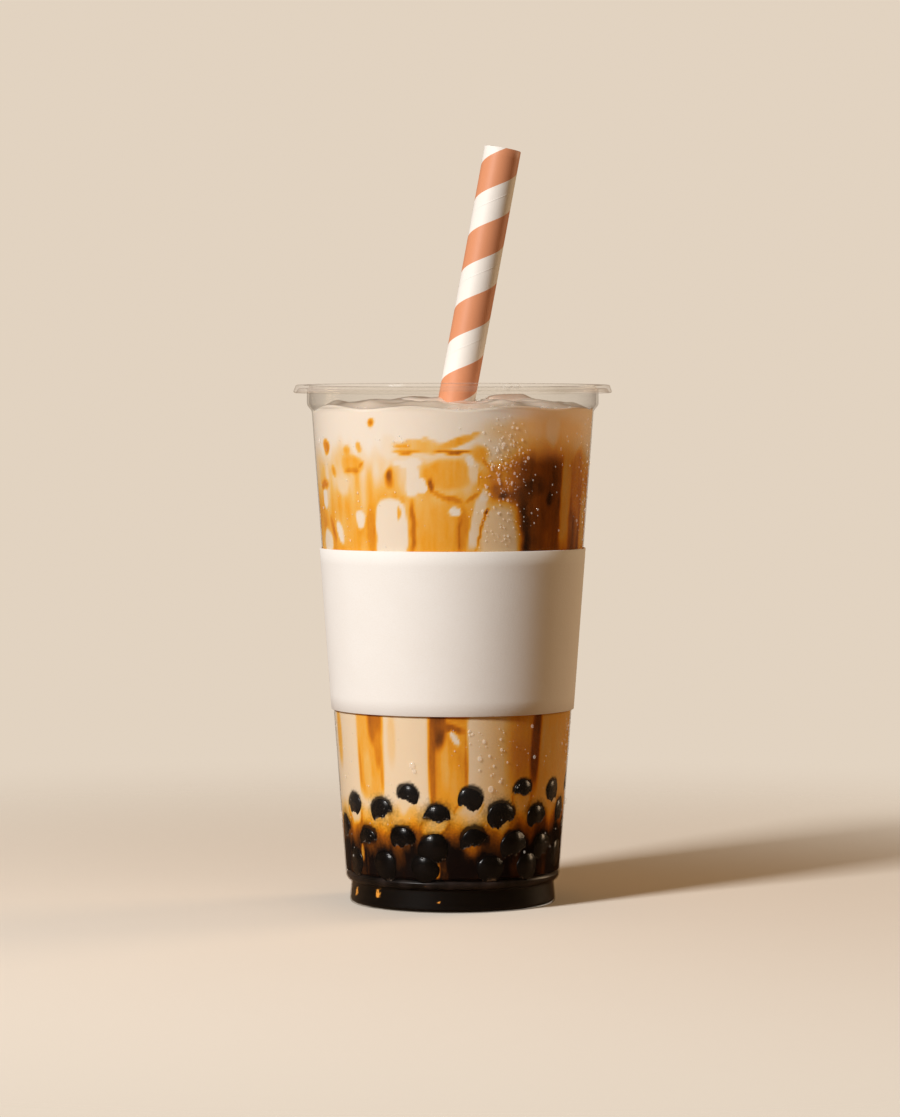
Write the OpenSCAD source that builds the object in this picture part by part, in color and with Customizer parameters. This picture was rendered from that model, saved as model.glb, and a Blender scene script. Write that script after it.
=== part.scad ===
// Bubble tea: a clear plastic cup of iced milk tea over tapioca pearls and brown sugar syrup,
// with a paper sleeve round the cup and a striped paper straw.
// The cup stands on z = 0 with its axis on Z, and the straw leans towards +X. Millimetres.

/* [Cup] */
// Height of the cup, from the table to the top of its rim
cup_h = 154.4; // [120:0.1:200]
// Outer diameter of the rim flange
rim_d = 95; // [78:0.5:115]
// Outer diameter of the foot, where it is widest
foot_d = 61.6; // [50:0.2:75]
// Thickness of the plastic wall
wall_t = 0.7; // [0.5:0.1:1.2]
// Thickness of the plastic floor
floor_t = 1; // [0.6:0.1:2]

/* [Rim] */
// How far the flange stands out past the collar below it
flange_w = 4; // [3:0.1:5]
// Thickness of the flange
flange_t = 1; // [0.7:0.1:1.6]
// Height of the skirt that hangs from the flange's edge, with the flange
skirt_h = 2.4; // [1.6:0.1:4]
// Thickness of the skirt
skirt_t = 0.9; // [0.6:0.1:1.5]
// How far the skirt flares from its top to its bottom edge
skirt_flare = 0.5; // [0:0.1:1]
// How far the collar stands out past the tapered wall
collar_step = 1.5; // [0.6:0.1:3]
// Height of the straight collar under the rim
collar_h = 5.5; // [3:0.5:9]
// Height over which the wall eases out into the collar
ease_h = 2.8; // [1:0.1:6]

/* [Foot] */
// Height of the foot, up to the groove below the wall
foot_h = 6.2; // [4:0.2:10]
// How far the foot flares from the groove to its widest
foot_flare = 0.5; // [0.2:0.1:1]
// How far the tapered wall starts out past the foot's widest
foot_step = 1.2; // [0.8:0.1:2]
// Radius of the wall's rounded lower edge
shoulder_r = 2.6; // [1.8:0.1:4]
// Radius of the foot's rounded lower edge
foot_edge_r = 0.9; // [0.5:0.1:1.5]
// Width of the ring that the cup stands on
ring_w = 1.6; // [1:0.1:3]
// How far the floor is raised above that ring
floor_lift = 1.2; // [0.6:0.1:3]

/* [Drink] */
// Distance from the top of the rim down to the tea
headroom = 8; // [6.5:0.5:20]
// Clearance between the contents and the cup, and between them and the straw
fill_gap = 0.05; // [0.02:0.01:0.2]
// Depth of the brown sugar syrup on the cup's floor
syrup_h = 12; // [6:0.5:24]
// Depth of the packed pearls above the syrup
pearls_h = 19; // [10:0.5:34]

/* [Pearls] */
// Diameter of a tapioca pearl
pearl_d = 9.4; // [6:0.2:12]
// Distance between neighbouring pearls on top of the heap, as a share of their diameter
pearl_spacing = 0.9; // [0.85:0.01:1.2]
// How far the outer pearls are pressed flat by the cup
pearl_press = 0.8; // [0.4:0.1:1.5]
// How much the pearls on top differ in height
pearl_rise = 2.4; // [0.5:0.1:4]

/* [Ice] */
// How far the tallest ice cube lifts the tea's surface
ice_rise = 5; // [1:0.1:5.5]
// How wide that cube's hump is on the surface
ice_hump_d = 19; // [12:0.5:26]

/* [Straw] */
// Outer diameter of the straw
straw_d = 11; // [6:0.5:14]
// Thickness of the straw's paper wall
straw_t = 0.6; // [0.3:0.1:1]
// Length of the straw
straw_l = 215; // [180:1:260]
// Height of the straw's lower end above the cup's floor
straw_lift = 11; // [3:0.5:20]
// Clearance of the straw's lower end from the cup's wall
straw_gap = 2.1; // [0.5:0.1:10]
// Where the straw's axis crosses the tea's surface, along X
straw_cross_x = 0.5; // [-4:0.1:4]

/* [Sleeve] */
// Height of the paper sleeve
sleeve_h = 48; // [30:1:70]
// Height of the sleeve's lower edge above the table
sleeve_z = 57.8; // [30:0.2:80]
// Thickness of the sleeve's paper
sleeve_t = 0.7; // [0.3:0.1:1.5]
// Clearance between the sleeve and the cup
sleeve_gap = 0.1; // [0.05:0.05:0.3]
// Width of the glued overlap at the back of the sleeve
lap_w = 12; // [6:1:25]

/* [Hidden] */
$fn = 96;
ARC_STEPS = 8;        // segments in each rounded corner of a profile
GOLDEN_ANGLE = 137.5; // degrees between neighbours in a sunflower layout
RISE_ANGLE = 83;      // degrees that a pearl's height turns from one pearl to the next
CUT = 1;              // how far a cutting shape runs past what it cuts

// Humps where ice lies just under the surface: bearing round the cup, distance out as a share
// of the room between the axis and the cup's wall, and width and rise as shares of the tallest
// hump's.
HUMPS = [
    [12, 0.56, 1, 1],
    [104, 0.41, 1.4, 0.62],
    [-35, 0.91, 1.1, 0.34],
    [-140, 0.86, 1.3, 0.26],
    [152, 0.93, 1.15, 0.22]
];

rim_r = rim_d / 2;
collar_r = rim_r - flange_w;
wall_top_r = collar_r - collar_step;
wall_top_z = cup_h - collar_h - ease_h;
foot_r = foot_d / 2;
neck_r = foot_r - foot_flare;
wall_low_r = foot_r + foot_step;
wall_low_z = foot_h + shoulder_r;
floor_z = floor_lift + floor_t;
level = cup_h - headroom;
syrup_z = floor_z + syrup_h;
bed_z = syrup_z + pearls_h;

// Outer radius of the tapered wall at height z, and the radius inside it.
function wall_r(z) =
    wall_low_r + (wall_top_r - wall_low_r) * (z - wall_low_z) / (wall_top_z - wall_low_z);
function inner_r(z) = wall_r(z) - wall_t;

// Points on an arc about c, from angle a to angle b.
function arc(c, r, a, b) =
    [for (i = [0 : ARC_STEPS]) let (t = a + (b - a) * i / ARC_STEPS) c + r * [cos(t), sin(t)]];
// An S-curve from point a up to point b, upright at both ends.
function ease(a, b) =
    [for (i = [0 : ARC_STEPS]) let (s = i / ARC_STEPS)
        [a.x + (b.x - a.x) * s * s * (3 - 2 * s), a.y + (b.y - a.y) * s]];
function reversed(list) = [for (i = [len(list) - 1 : -1 : 0]) list[i]];

// The cup's side from its foot to its collar, moved in by inset and starting at low_z.
function side(inset, low_z) =
    let (
        r = foot_r - inset,
        turn_r = shoulder_r - inset,
        turn = [wall_low_r - shoulder_r, wall_low_z]
    )
    concat(
        arc([r - foot_edge_r, low_z + foot_edge_r], foot_edge_r, -90, 0),
        arc(turn, turn_r, -acos((neck_r - inset - turn.x) / turn_r), 0),
        ease([wall_top_r - inset, wall_top_z], [collar_r - inset, wall_top_z + ease_h])
    );

// The flange with its skirt, from the collar's outside round to its inside.
function rim_outline() =
    let (top_r = rim_r - skirt_flare, edge = flange_t * 0.6, lip = wall_t * 0.6)
    concat(
        [
            [collar_r, cup_h - flange_t],
            [top_r - skirt_t, cup_h - flange_t],
            [rim_r - skirt_t, cup_h - skirt_h],
            [rim_r, cup_h - skirt_h]
        ],
        arc([top_r - edge, cup_h - edge], edge, 0, 90),
        arc([collar_r - wall_t + lip, cup_h - lip], lip, 90, 180)
    );

// The thin-walled cup: flange, collar, tapered wall and a foot with a raised floor.
module cup() {
    ring_in = foot_r - foot_edge_r - ring_w;
    color([0.93, 0.95, 0.95, 0.35])
        rotate_extrude()
            polygon(concat(
                [[0, floor_lift], [ring_in - floor_lift, floor_lift], [ring_in, 0]],
                side(0, 0),
                rim_outline(),
                reversed(side(wall_t, floor_z)),
                [[0, floor_z]]
            ));
}

// A band that follows the tapered wall from z0 to z1, between two distances outside it.
module band(z0, z1, near, far, turn = 360) {
    rotate_extrude(angle = turn)
        polygon([
            [wall_r(z0) + near, z0],
            [wall_r(z0) + far, z0],
            [wall_r(z1) + far, z1],
            [wall_r(z1) + near, z1]
        ]);
}

// One strip of paper, glued to itself at the back.
module sleeve() {
    sleeve_top = sleeve_z + sleeve_h;
    outside = sleeve_gap + sleeve_t;
    lap_angle = lap_w / (wall_r(sleeve_z) + outside) * 180 / PI;
    color([0.96, 0.92, 0.85]) union() {
        band(sleeve_z, sleeve_top, sleeve_gap, outside);
        rotate([0, 0, 90 - lap_angle / 2])
            band(sleeve_z, sleeve_top, outside - sleeve_t / 2, outside + sleeve_t, lap_angle);
    }
}

// Lower end of the straw's axis, and its lean from upright.
straw_foot_z = floor_z + straw_lift;
straw_foot_x = -(inner_r(straw_foot_z) - straw_d / 2 - straw_gap);
straw_lean = atan((straw_cross_x - straw_foot_x) / (level - straw_foot_z));

module along_straw() {
    translate([straw_foot_x, 0, straw_foot_z]) rotate([0, straw_lean, 0]) children();
}

module straw() {
    color([0.78, 0.46, 0.31]) along_straw() difference() {
        cylinder(d = straw_d, h = straw_l);
        translate([0, 0, -CUT]) cylinder(d = straw_d - 2 * straw_t, h = straw_l + 2 * CUT);
    }
}

// What the contents leave free for the straw.
module straw_room() {
    along_straw() translate([0, 0, -fill_gap])
        cylinder(d = straw_d + 2 * fill_gap, h = straw_l);
}

// The room for the contents from height z0 to height z1, clear of the cup.
module inside(z0, z1) {
    intersection() {
        rotate_extrude()
            polygon(concat(
                [[0, floor_z + fill_gap]],
                side(wall_t + fill_gap, floor_z + fill_gap),
                [[collar_r - wall_t - fill_gap, cup_h], [0, cup_h]]
            ));
        translate([0, 0, z0]) cylinder(r = rim_r, h = z1 - z0);
    }
}

// How far out the centres of the pearls on top lie, and how many pearls fill that circle.
pearls_r = inner_r(bed_z) - pearl_d / 2 + pearl_press;
pearl_count = floor(PI * pow(pearls_r / (pearl_spacing * pearl_d), 2));

// Place of pearl i on top of the heap, in a sunflower layout with an uneven height.
function pearl_place(i) =
    let (out = sqrt((i + 0.5) / pearl_count) * pearls_r, a = i * GOLDEN_ANGLE)
    [out * cos(a), out * sin(a), bed_z - pearl_rise * (1 + sin(i * RISE_ANGLE)) / 2];

module top_pearls() {
    for (i = [0 : pearl_count - 1]) {
        translate(pearl_place(i)) sphere(d = pearl_d);
    }
}

// Dark syrup fills the cup's foot.
module syrup() {
    color([0.16, 0.07, 0.03]) difference() {
        inside(floor_z, syrup_z);
        straw_room();
    }
}

// The heap of pearls out to its uneven top, pressed against the cup.
module pearls() {
    color([0.09, 0.05, 0.04]) difference() {
        union() {
            inside(syrup_z, bed_z);
            intersection() {
                inside(syrup_z, level);
                top_pearls();
            }
        }
        straw_room();
    }
}

// A low dome on the tea's surface, over an ice cube just under it.
module hump(bearing, out, width, rise) {
    half_w = ice_hump_d / 2 * width;
    h = ice_rise * rise;
    dome_r = (half_w * half_w + h * h) / (2 * h);
    room = inner_r(level) - half_w - CUT;
    rotate([0, 0, bearing]) translate([room * out, 0, level])
        intersection() {
            translate([0, 0, h - dome_r]) sphere(r = dome_r);
            translate([0, 0, -CUT]) cylinder(r = half_w + CUT, h = h + 2 * CUT);
        }
}

// The milk tea, from the pearls up to a surface that the ice makes uneven.
module drink() {
    color([0.85, 0.68, 0.48]) difference() {
        union() {
            inside(bed_z, level);
            for (h = HUMPS) {
                hump(h[0], h[1], h[2], h[3]);
            }
        }
        top_pearls();
        straw_room();
    }
}

cup();
sleeve();
straw();
drink();
pearls();
syrup();
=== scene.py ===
# %% [markdown]
# # Bubble tea in a clear cup
# A clear plastic cup holds iced milk tea over tapioca pearls and brown sugar syrup. A paper sleeve
# goes round the cup and a striped paper straw leans in it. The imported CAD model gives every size
# and place. This lesson builds what the eye sees on top of it, one piece and one finish at a time.
# The frame is loaded first, because all that follows is placed from its nodes' boxes.

# %% Load the frame
import math
from functools import partialmethod

import bpy
import numpy as np
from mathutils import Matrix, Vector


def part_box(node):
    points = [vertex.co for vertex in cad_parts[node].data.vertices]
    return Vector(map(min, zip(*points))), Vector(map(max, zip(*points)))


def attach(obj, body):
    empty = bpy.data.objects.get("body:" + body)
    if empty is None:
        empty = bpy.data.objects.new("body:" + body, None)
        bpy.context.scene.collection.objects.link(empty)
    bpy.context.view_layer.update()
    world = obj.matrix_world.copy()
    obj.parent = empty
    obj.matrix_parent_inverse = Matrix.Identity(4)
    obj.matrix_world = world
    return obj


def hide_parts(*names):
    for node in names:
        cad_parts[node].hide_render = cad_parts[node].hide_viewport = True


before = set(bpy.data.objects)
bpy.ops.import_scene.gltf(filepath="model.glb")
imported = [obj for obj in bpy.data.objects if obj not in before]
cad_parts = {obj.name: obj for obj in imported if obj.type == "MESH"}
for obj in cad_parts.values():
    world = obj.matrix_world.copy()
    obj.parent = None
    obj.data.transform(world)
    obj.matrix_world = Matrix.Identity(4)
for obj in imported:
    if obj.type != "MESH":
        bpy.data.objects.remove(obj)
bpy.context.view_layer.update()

# %% [markdown]
# ## Measures
# Blender works in metres, so MM turns a maker's millimetres into them. The cup's own outline is
# needed by four pieces: the cup, the tea, the syrup and the drops. It is written once, as functions
# of height. The outer sizes come from the frame, and only the small ones are numbers.

# %% Measures of the cup, the sleeve and the straw
MM = 0.001
cup_low, cup_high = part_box("cup")
sleeve_low, sleeve_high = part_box("sleeve")
straw_low, straw_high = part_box("straw")

CUP_H = cup_high.z / MM
RIM_R = (cup_high.x - cup_low.x) / 2 / MM
FLANGE_W = 4.0
FLANGE_T = 1.0
SKIRT_H = 2.4
SKIRT_T = 0.9
SKIRT_FLARE = 0.5
COLLAR_R = RIM_R - FLANGE_W
COLLAR_STEP = 1.5
EASE_H = 2.8
WALL_T = 0.7
WALL_TOP = (COLLAR_R - COLLAR_STEP, CUP_H - 5.5 - EASE_H)
FOOT_R = 30.8
FOOT_H = 6.2
FOOT_FLARE = 0.5
FOOT_EDGE_R = 0.9
SHOULDER_R = 2.6
WALL_LOW = (FOOT_R + 1.2, FOOT_H + SHOULDER_R)
FLOOR_LIFT = 1.2
FLOOR_Z = FLOOR_LIFT + 1.0
RING_W = 1.6
LEVEL = CUP_H - 8.0


def wall_radius(z):
    """Outer radius of the tapered wall: a straight line in height between its two ends."""
    share = (np.asarray(z, float) - WALL_LOW[1]) / (WALL_TOP[1] - WALL_LOW[1])
    return WALL_LOW[0] + (WALL_TOP[0] - WALL_LOW[0]) * share


def tea_radius(z, into_wall=0.40):
    """Radius of what the cup holds: the wall's inner radius and a little more, so no air shows."""
    return wall_radius(z) - WALL_T + into_wall


print("cup", round(CUP_H, 1), "mm tall, rim radius", round(RIM_R, 1), "mm")

# %% [markdown]
# ## Camera
# A long lens far away flattens the cup's ellipses. It stands a little lower than the rim, so the
# rim reads as a line and the foot as a shallow curve.

# %% Camera


def put_in_scene(name, data):
    """A new object that holds this data, linked to the scene."""
    thing = bpy.data.objects.new(name, data)
    bpy.context.scene.collection.objects.link(thing)
    return thing


LENS_MM = 119.2
CAMERA_AWAY = 1.105
CAMERA_Z = 0.140
CAMERA_TILT = 1.94
camera_data = bpy.data.cameras.new("camera")
camera_data.lens = LENS_MM
camera_data.sensor_width = 36
camera = put_in_scene("camera", camera_data)
camera.location = (-0.0008, -CAMERA_AWAY, CAMERA_Z)
camera.rotation_euler = (math.radians(90 - CAMERA_TILT), 0, 0)
bpy.context.scene.camera = camera
print("camera", round(CAMERA_AWAY, 3), "m away")

# %% [markdown]
# ## Meshes from arrays
# Every round piece here is a grid of rings. Row by row the rings go along an outline, and the
# columns go round. Two rows and two columns make a quad, and a pole closes an end with a fan of
# triangles. Whole index arrays build all faces at once, which is far faster than a loop.

# %% Faces between rings


def ring_faces(rows, columns, loop=False):
    """Corner numbers of the quads between neighbouring rings; loop joins the last ring to the first."""
    here = np.arange(rows * columns).reshape(rows, columns)
    above = np.roll(here, -1, axis=0)
    if not loop:
        here, above = here[:-1], above[:-1]
    quads = [here, np.roll(here, -1, 1), np.roll(above, -1, 1), above]
    return np.stack(quads, -1).reshape(-1, 4)


def fan_faces(ring, pole, upper):
    """Triangles from a ring's corner numbers to one pole."""
    after = np.roll(ring, -1)
    apex = np.full(len(ring), pole)
    return np.stack([ring, after, apex] if upper else [apex, after, ring], -1)


# %% A mesh from arrays


def add_mesh(name, points, quads, triangles=None, fields=None):
    """A smooth mesh object from arrays of points in millimetres and of faces, with its attributes."""
    triangles = np.zeros((0, 3), int) if triangles is None else triangles
    points = np.asarray(points).reshape(-1, 3)
    mesh = bpy.data.meshes.new(name)
    mesh.vertices.add(len(points))
    mesh.vertices.foreach_set("co", (points * MM).astype(np.float32).ravel())
    corners = np.concatenate([quads.ravel(), triangles.ravel()]).astype(np.int32)
    sizes = np.concatenate([np.full(len(quads), 4), np.full(len(triangles), 3)])
    mesh.loops.add(len(corners))
    mesh.loops.foreach_set("vertex_index", corners)
    mesh.polygons.add(len(sizes))
    starts = np.concatenate([[0], np.cumsum(sizes)[:-1]])
    mesh.polygons.foreach_set("loop_start", starts.astype(np.int32))
    mesh.polygons.foreach_set("use_smooth", np.ones(len(sizes), bool))
    mesh.update(calc_edges=True)
    mesh.validate()
    for field, values in (fields or {}).items():
        attribute = mesh.attributes.new(field, "FLOAT", "POINT")
        attribute.data.foreach_set("value", np.asarray(values, np.float32).ravel())
    print(name, len(points), "points,", len(quads) * 2 + len(triangles), "triangles")
    return put_in_scene(name, mesh)


def add_rings(name, rings, poles=(None, None), loop=False, fields=None):
    """A mesh from rings[row, column] = point, joined end to end or closed by a fan of triangles at
    each pole, which is a height on the axis."""
    rows, columns = rings.shape[:2]
    points = rings.reshape(-1, 3)
    fans = [np.zeros((0, 3), int)]
    for end, z in enumerate(poles):
        if z is not None:
            ring = np.arange(columns) + end * (rows - 1) * columns
            fans.append(fan_faces(ring, len(points), upper=end == 1))
            points = np.vstack([points, [0, 0, z]])
    return add_mesh(name, points, ring_faces(rows, columns, loop), np.vstack(fans), fields)


def with_poles(values, low, high):
    """A field of the rings with the two poles' own values at its end."""
    return np.concatenate([np.asarray(values, float).ravel(), [low, high]])


# %% [markdown]
# ## Round the axis
# A cup is described best by bearing, radius and height. Bearing 0 is the front and it grows to +X.
# Two S-curves do all the easing: smoothstep rises from 0 to 1, and fall comes down from 1 to 0.

# %% Places round the axis


def round_axis(radius, bearing, height):
    """Points x = r sin b, y = -r cos b, z = height, with the bearing b in radians."""
    x = radius * np.sin(bearing)
    return np.stack(np.broadcast_arrays(x, -radius * np.cos(bearing), height), -1)


def wall_axes(bearing):
    """Unit vectors at a bearing in degrees: outward (sin b, -cos b, 0) and across (cos b, sin b, 0)."""
    b = np.radians(bearing)
    return round_axis(1, b, 0), np.stack([np.cos(b), np.sin(b), 0 * b], -1)


def turned(outline, columns):
    """Rings of an outline's [radius, height] rows turned about the cup's axis."""
    bearing = np.linspace(-np.pi, np.pi, columns, endpoint=False)
    return round_axis(outline[:, :1], bearing, outline[:, 1:])


def smoothstep(low, high, value):
    """0 below low, 1 above high, and an S-curve of the value between."""
    t = np.clip((value - low) / (high - low), 0, 1)
    return t * t * (3 - 2 * t)


def fall(low, high, value):
    """1 below low, 0 above high, and an S-curve of the value between."""
    return 1 - smoothstep(low, high, value)


def turn_between(a, b):
    """The short way round from bearing b to bearing a, in degrees."""
    return (a - b + 180) % 360 - 180


def arc(centre, radius, start, end, steps=10):
    """Points on an arc of an outline, from angle start to angle end in degrees."""
    t = np.radians(np.linspace(start, end, steps))
    return np.stack([centre[0] + radius * np.cos(t), centre[1] + radius * np.sin(t)], -1)


def blots(rings, table, solid):
    """A field of soft ovals: a row's amount inside the share solid of its oval, and 0 past 1.2 of it."""
    bearing = np.degrees(np.arctan2(rings[..., 0], -rings[..., 1]))
    field = np.zeros(bearing.shape)
    for where, level, half_deg, half_mm, amount in table:
        reach = np.hypot(turn_between(bearing, where) / half_deg, (rings[..., 2] - level) / half_mm)
        field = np.maximum(field, amount * fall(solid, 1.2, reach))
    return field


# %% [markdown]
# ## Shader wiring
# Node trees are easier to read as sums. Wire wraps an output socket, so that 1 - mask or
# 0.3 * noise adds the Math node it needs. Finish holds one material, and its node method adds
# any other node: its type, its settings, and then the values or wires of its sockets.

# %% Wire


class Wire:
    """An output socket of a material's node that takes part in Python expressions."""

    def __init__(self, finish, socket):
        self.finish = finish
        self.socket = socket

    def math(self, operation, *others, swap=False):
        """A Math node on this value and the others; swap puts this one last."""
        values = [self, *others]
        if swap:
            values.reverse()
        return self.finish.node("ShaderNodeMath", {"operation": operation}, dict(enumerate(values)))

    __add__ = __radd__ = partialmethod(math, "ADD")
    __sub__ = partialmethod(math, "SUBTRACT")
    __rsub__ = partialmethod(math, "SUBTRACT", swap=True)
    __mul__ = __rmul__ = partialmethod(math, "MULTIPLY")
    __truediv__ = partialmethod(math, "DIVIDE")

    def clamp(self, low=0.0, high=1.0):
        """The value, kept between low and high."""
        return self.math("MAXIMUM", low).math("MINIMUM", high)

    def rise(self, low, high):
        """0 below low, 1 above high, and an S-curve between."""
        settings = {"interpolation_type": "SMOOTHSTEP"}
        values = {"Value": self, "From Min": low, "From Max": high}
        return self.finish.node("ShaderNodeMapRange", settings, values)


# %% Finish


class Finish:
    """One material, or the world when it is given, and the nodes added to it."""

    def __init__(self, name, world=None):
        self.material = world or bpy.data.materials.new(name)
        self.last = "ShaderNodeOutputWorld" if world else "ShaderNodeOutputMaterial"
        self.material.use_nodes = True
        self.tree = self.material.node_tree
        self.tree.nodes.clear()

    def node(self, kind, settings=None, values=None, output=0):
        """Adds a node: its type, its settings, then its sockets' values or wires; returns one output."""
        node = self.tree.nodes.new(kind)
        for name, value in (settings or {}).items():
            if name == "stops":
                ramp = node.color_ramp
                while len(ramp.elements) < len(value):
                    ramp.elements.new(0.5)
                for element, (place, colour) in zip(ramp.elements, value):
                    element.position = place
                    element.color = (*colour, 1)
            else:
                setattr(node, name, value)
        for name, value in (values or {}).items():
            socket = node.inputs[name]
            if isinstance(value, Wire):
                self.tree.links.new(value.socket, socket)
            else:
                socket.default_value = (*value, 1) if socket.type == "RGBA" else value
        return Wire(self, node.outputs[output])

    def place(self):
        """The point's own coordinates in metres, the same as the scene's."""
        return self.node("ShaderNodeTexCoord", output="Object")

    def axis(self, name, vector=None):
        """X, Y or Z of the place or of another vector."""
        values = {"Vector": vector or self.place()}
        return self.node("ShaderNodeSeparateXYZ", {}, values, output=name)

    def field(self, name):
        """An attribute that the mesh carries, such as the depth of the syrup."""
        return self.node("ShaderNodeAttribute", {"attribute_name": name}, output="Fac")

    def noise(self, scale_mm, detail, stretch=None, roughness=0.5):
        """Noise whose lumps are about scale_mm across; stretch squeezes its x, y and z."""
        vector = self.place()
        if stretch:
            vector = self.node("ShaderNodeMapping", {}, {"Vector": vector, "Scale": stretch})
        values = {"Vector": vector, "Scale": 1 / (scale_mm * MM), "Detail": detail, "Roughness": roughness}
        return self.node("ShaderNodeTexNoise", {}, values)

    def mix(self, share, first, second):
        """The first colour where share is 0 and the second where it is 1."""
        return self.node("ShaderNodeMix", {"data_type": "RGBA"}, {0: share, 6: first, 7: second}, output=2)

    def bump(self, height, distance_mm, strength):
        """A normal tilted by a height in units of distance_mm."""
        values = {"Height": height, "Distance": distance_mm * MM, "Strength": strength}
        return self.node("ShaderNodeBump", {}, values, output="Normal")

    def cover(self, piece, replaced, values):
        """Dresses a piece in the general shader with these sockets set."""
        dress(piece, self.surface(self.principled(values)), replaced)

    def surface(self, shader):
        """Ends the tree with this shader and gives the finished material back."""
        output = self.tree.nodes.new(self.last)
        self.tree.links.new(shader.socket, output.inputs["Surface"])
        return self.material

    def principled(self, values):
        """The general shader with some of its sockets set."""
        return self.node("ShaderNodeBsdfPrincipled", {}, values)


def dress(piece, material, replaced=()):
    """Gives a finished piece its material and its CAD body, and hides the CAD parts it replaces."""
    piece.data.materials.clear()
    piece.data.materials.append(material)
    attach(piece, "root")
    if replaced:
        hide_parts(*replaced)
    print(piece.name, "wears", material.name)


# %% [markdown]
# ## The clear cup
# The real cup is thermoformed from one clear sheet, so its wall has one outline: foot ring, flared
# foot, groove, shoulder, tapered wall, stacking collar and a flange with a down-turned skirt. The
# outline goes up the outside and down the inside, and is turned about the axis.

# %% Outline of the cup
CUP_COLUMNS = 192
FOG = [  # bearing, height, half width in degrees, half height in millimetres, amount
    (22, 130, 10, 14, 0.35), (74, 124, 24, 26, 0.6), (30, 50, 22, 12, 0.35), (78, 46, 24, 20, 0.5),
    (150, 125, 30, 24, 0.4), (-150, 48, 30, 16, 0.3),
]


def cup_side(inset, low_z):
    """The side from foot to collar, moved in by inset: an edge arc, a shoulder arc and an S-curve."""
    foot = FOOT_R - inset
    turn = (WALL_LOW[0] - SHOULDER_R, WALL_LOW[1])
    turn_r = SHOULDER_R - inset
    groove = -math.degrees(math.acos((FOOT_R - FOOT_FLARE - inset - turn[0]) / turn_r))
    t = np.linspace(0, 1, 14)
    ease_r = WALL_TOP[0] + COLLAR_STEP * t * t * (3 - 2 * t) - inset
    between = np.linspace(WALL_LOW[1], WALL_TOP[1], 60)[1:-1]
    return np.vstack([
        arc((foot - FOOT_EDGE_R, low_z + FOOT_EDGE_R), FOOT_EDGE_R, -90, 0),
        arc(turn, turn_r, groove, 0, 14),
        np.stack([wall_radius(between) - inset, between], -1),
        np.stack([ease_r, WALL_TOP[1] + EASE_H * t], -1),
    ])


def cup_rim():
    """The flange and its skirt: out under the flange, round the skirt, and in over the top."""
    top_r = RIM_R - SKIRT_FLARE
    lip = WALL_T * 0.6
    edge = FLANGE_T * 0.6
    return np.vstack([
        arc((COLLAR_R + 0.5, CUP_H - FLANGE_T - 0.5), 0.5, 180, 90, 6),
        [[top_r - SKIRT_T - 0.3, CUP_H - FLANGE_T], [top_r - SKIRT_T, CUP_H - FLANGE_T - 0.2]],
        arc((RIM_R - SKIRT_T / 2, CUP_H - SKIRT_H + 0.45), SKIRT_T / 2, 180, 360, 9),
        arc((top_r - edge, CUP_H - edge), edge, 0, 90, 7),
        [[COLLAR_R + 1.3, CUP_H], [COLLAR_R + 1.0, CUP_H - 0.18], [COLLAR_R + 0.7, CUP_H]],
        arc((COLLAR_R - WALL_T + lip, CUP_H - lip), lip, 90, 180, 6),
    ])


ring_in = FOOT_R - FOOT_EDGE_R - RING_W
outline = np.vstack([
    [[8, FLOOR_LIFT], [16, FLOOR_LIFT], [ring_in - FLOOR_LIFT, FLOOR_LIFT]],
    [[ring_in - 0.5, 0.35], [ring_in, 0]],
    cup_side(0, 0),
    cup_rim(),
    cup_side(WALL_T, FLOOR_Z)[::-1],
    [[16, FLOOR_Z], [8, FLOOR_Z]],
])
cup_rings = turned(outline, CUP_COLUMNS)
cup_fields = {"fog": with_poles(blots(cup_rings, FOG, solid=0.4), 0, 0)}
cup = add_rings("cup_shell", cup_rings, (FLOOR_LIFT, FLOOR_Z), fields=cup_fields)

# %% [markdown]
# ## Clear plastic
# True refraction would darken all that stands behind a wall this thin. A thin clear wall mostly
# lets light straight through and mirrors more of it the more it is seen edge-on. So the finish
# mixes a clear shader with a glossy one, by how much the surface turns away. The flange is thick
# enough to look milky, fine fog lies in patches, and above the dark pearls the wall is a little pale.

# %% Clear plastic


def clear_finish(name, tint, body, pale, least, most, blend, roughness, glow=0.0):
    """Mostly see-through, mixed with gloss by a facing weight; paler where fogged, thick or high."""
    finish = Finish(name)
    height = finish.axis("Z")
    thick = height.rise((CUP_H - 2.6) * MM, (CUP_H - 2.2) * MM)
    above = height.rise(24 * MM, 36 * MM) * 0.3
    beads = finish.noise(0.5, 2.0).rise(0.35, 0.75)
    fog = finish.field("fog") * (beads * 0.8 + 0.2)
    facing = finish.node("ShaderNodeLayerWeight", {}, {"Blend": blend}, output="Facing")
    share = (facing.math("POWER", 2.5) * (most - least) + least + fog * 0.22).clamp()
    clear = finish.node("ShaderNodeBsdfTransparent", {}, {"Color": tint})
    gloss = finish.principled({
        "Base Color": finish.mix((thick + fog + above).clamp(), body, pale),
        "Roughness": roughness,
        "IOR": 1.55,
        # painted glow: Emission Strength glow, 0 for the plastic, stands for lamp light that a drop
        # gathers like a lens
        "Emission Color": pale,
        "Emission Strength": glow,
    })
    mixed = finish.node("ShaderNodeMixShader", {}, {0: share, 1: clear, 2: gloss})
    return finish.surface(mixed)


plastic = clear_finish(
    "clear_plastic", tint=(0.985, 0.98, 0.97), body=(0.03, 0.028, 0.027), pale=(0.80, 0.74, 0.69),
    least=0.03, most=0.42, blend=0.42, roughness=0.08,
)
dress(cup, plastic, ["cup"])

# %% [markdown]
# ## Smooth randomness
# Syrup runs and melting ice have no straight edges. Ripples are sums of a few seeded waves. The
# waves that go round the cup have whole numbers of turns, so a pattern meets itself at the back.

# %% Ripples


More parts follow.
